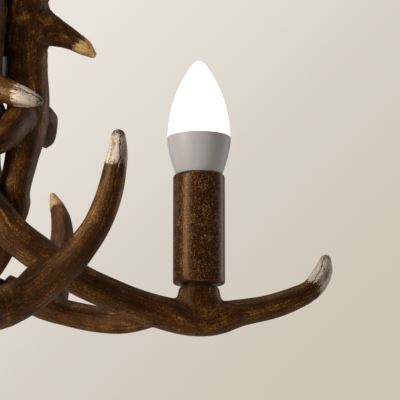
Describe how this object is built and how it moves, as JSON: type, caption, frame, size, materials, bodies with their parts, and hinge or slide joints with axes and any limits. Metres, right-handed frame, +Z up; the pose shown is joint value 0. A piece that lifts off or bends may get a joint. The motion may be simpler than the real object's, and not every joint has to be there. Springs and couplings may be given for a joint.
{
  "type": "antler chandelier",
  "caption": "Antler chandelier: cast antlers round a threaded tube, each arm with a speckled candle sleeve and a lit candle bulb, hung on a short chain from a domed canopy.",
  "frame": {"origin": "on the chandelier's axis in the ceiling plane, at the middle of the ceiling bracket's upper face", "axes": "+Z up along the axis; +X towards the first lamp; the picture looks along +Y from below"},
  "size_m": [0.2993, 0.3398, 0.4301],
  "materials": {
    "antler_resin": "cast resin antler, brown stain over a tan ground, paler worn tips, low sheen",
    "candle_resin": "dark brown resin tube speckled with gold and tan, low sheen",
    "bulb_plastic": "smooth pale grey-white plastic",
    "bulb_glow": "opal globe, lit",
    "cap_nickel": "nickel-plated rolled sheet",
    "contact_brass": "bright brass",
    "holder_plastic": "black heat-resistant plastic",
    "dark_bronze": "dark bronze paint, satin",
    "zinc_steel": "zinc-plated steel",
    "block_plastic": "cream thermoplastic",
    "lead_insulation": "brown insulated flex",
    "board_white": "white-faced circuit board"
  },
  "bodies": {
    "ceiling_mount": {"ceiling_bracket": "zinc_steel", "canopy": "dark_bronze", "canopy_stud": "zinc_steel", "canopy_loop": "dark_bronze", "terminal_block": "block_plastic"},
    "chain_link_1": {"chain_link_1": "dark_bronze"},
    "chain_link_2": {"chain_link_2": "dark_bronze"},
    "chain_link_3": {"chain_link_3": "dark_bronze"},
    "chain_link_4": {"chain_link_4": "dark_bronze"},
    "antler_cluster": {"crown_plate": "dark_bronze", "central_tube": "zinc_steel", "hub_block": "zinc_steel", "hanging_eye": "dark_bronze", "hub_screws": "zinc_steel", "crown_screws": "zinc_steel", "cross_screws": "zinc_steel", "antler_dowels": "zinc_steel", "screw_plugs": "antler_resin", "seat_washers": "zinc_steel", "lamp_nipples": "zinc_steel", "holder_nuts": "zinc_steel", "holder_contacts": "contact_brass", "lamp_antler_1": "antler_resin", "cross_antler_1": "antler_resin", "lamp_lead_1": "lead_insulation", "candle_sleeve_1": "candle_resin", "lampholder_base_1": "holder_plastic", "lampholder_socket_1": "holder_plastic", "threaded_shell_1": "contact_brass", "lamp_antler_2": "antler_resin", "cross_antler_2": "antler_resin", "lamp_lead_2": "lead_insulation", "candle_sleeve_2": "candle_resin", "lampholder_base_2": "holder_plastic", "lampholder_socket_2": "holder_plastic", "threaded_shell_2": "contact_brass", "lamp_antler_3": "antler_resin", "cross_antler_3": "antler_resin", "lamp_lead_3": "lead_insulation", "candle_sleeve_3": "candle_resin", "lampholder_base_3": "holder_plastic", "lampholder_socket_3": "holder_plastic", "threaded_shell_3": "contact_brass"},
    "bulb_contact_1": {"bulb_contact_1": "contact_brass"},
    "bulb_1": {"bulb_cap_1": "cap_nickel", "bulb_housing_1": "bulb_plastic", "bulb_globe_1": "bulb_glow", "bulb_led_board_1": "board_white"},
    "bulb_contact_2": {"bulb_contact_2": "contact_brass"},
    "bulb_2": {"bulb_cap_2": "cap_nickel", "bulb_housing_2": "bulb_plastic", "bulb_globe_2": "bulb_glow", "bulb_led_board_2": "board_white"},
    "bulb_contact_3": {"bulb_contact_3": "contact_brass"},
    "bulb_3": {"bulb_cap_3": "cap_nickel", "bulb_housing_3": "bulb_plastic", "bulb_globe_3": "bulb_glow", "bulb_led_board_3": "board_white"}
  },
  "joints": [
    {"name": "chain_swing_1", "type": "hinge", "parent": "ceiling_mount", "child": "chain_link_1", "pos_m": [0, 0, -0.05875], "axis": [1, 0, 0], "range_deg": [-20, 20]},
    {"name": "chain_swing_2", "type": "hinge", "parent": "chain_link_1", "child": "chain_link_2", "pos_m": [0, 0, -0.08595], "axis": [0, 1, 0], "range_deg": [-20, 20]},
    {"name": "chain_swing_3", "type": "hinge", "parent": "chain_link_2", "child": "chain_link_3", "pos_m": [0, 0, -0.11365], "axis": [1, 0, 0], "range_deg": [-20, 20]},
    {"name": "chain_swing_4", "type": "hinge", "parent": "chain_link_3", "child": "chain_link_4", "pos_m": [0, 0, -0.14135], "axis": [0, 1, 0], "range_deg": [-20, 20]},
    {"name": "cluster_swing", "type": "hinge", "parent": "chain_link_4", "child": "antler_cluster", "pos_m": [0, 0, -0.16905], "axis": [1, 0, 0], "range_deg": [-20, 20]},
    {"name": "bulb_1_rise", "type": "slide", "parent": "antler_cluster", "child": "bulb_contact_1", "axis": [0, 0, 1], "range_m": [0, 0.00846]},
    {"name": "bulb_1_turn", "type": "hinge", "parent": "bulb_contact_1", "child": "bulb_1", "pos_m": [0.118, 0, -0.31], "axis": [0, 0, 1], "range_deg": [0, 1080]},
    {"name": "bulb_2_rise", "type": "slide", "parent": "antler_cluster", "child": "bulb_contact_2", "axis": [0, 0, 1], "range_m": [0, 0.00846]},
    {"name": "bulb_2_turn", "type": "hinge", "parent": "bulb_contact_2", "child": "bulb_2", "pos_m": [-0.059, 0.10219, -0.31], "axis": [0, 0, 1], "range_deg": [0, 1080]},
    {"name": "bulb_3_rise", "type": "slide", "parent": "antler_cluster", "child": "bulb_contact_3", "axis": [0, 0, 1], "range_m": [0, 0.00846]},
    {"name": "bulb_3_turn", "type": "hinge", "parent": "bulb_contact_3", "child": "bulb_3", "pos_m": [-0.059, -0.10219, -0.31], "axis": [0, 0, 1], "range_deg": [0, 1080]}
  ],
  "couplings": [
    {"joint": "bulb_1_turn", "follows": "bulb_1_rise", "rad_per_m": 2228.1},
    {"joint": "bulb_2_turn", "follows": "bulb_2_rise", "rad_per_m": 2228.1},
    {"joint": "bulb_3_turn", "follows": "bulb_3_rise", "rad_per_m": 2228.1}
  ]
}
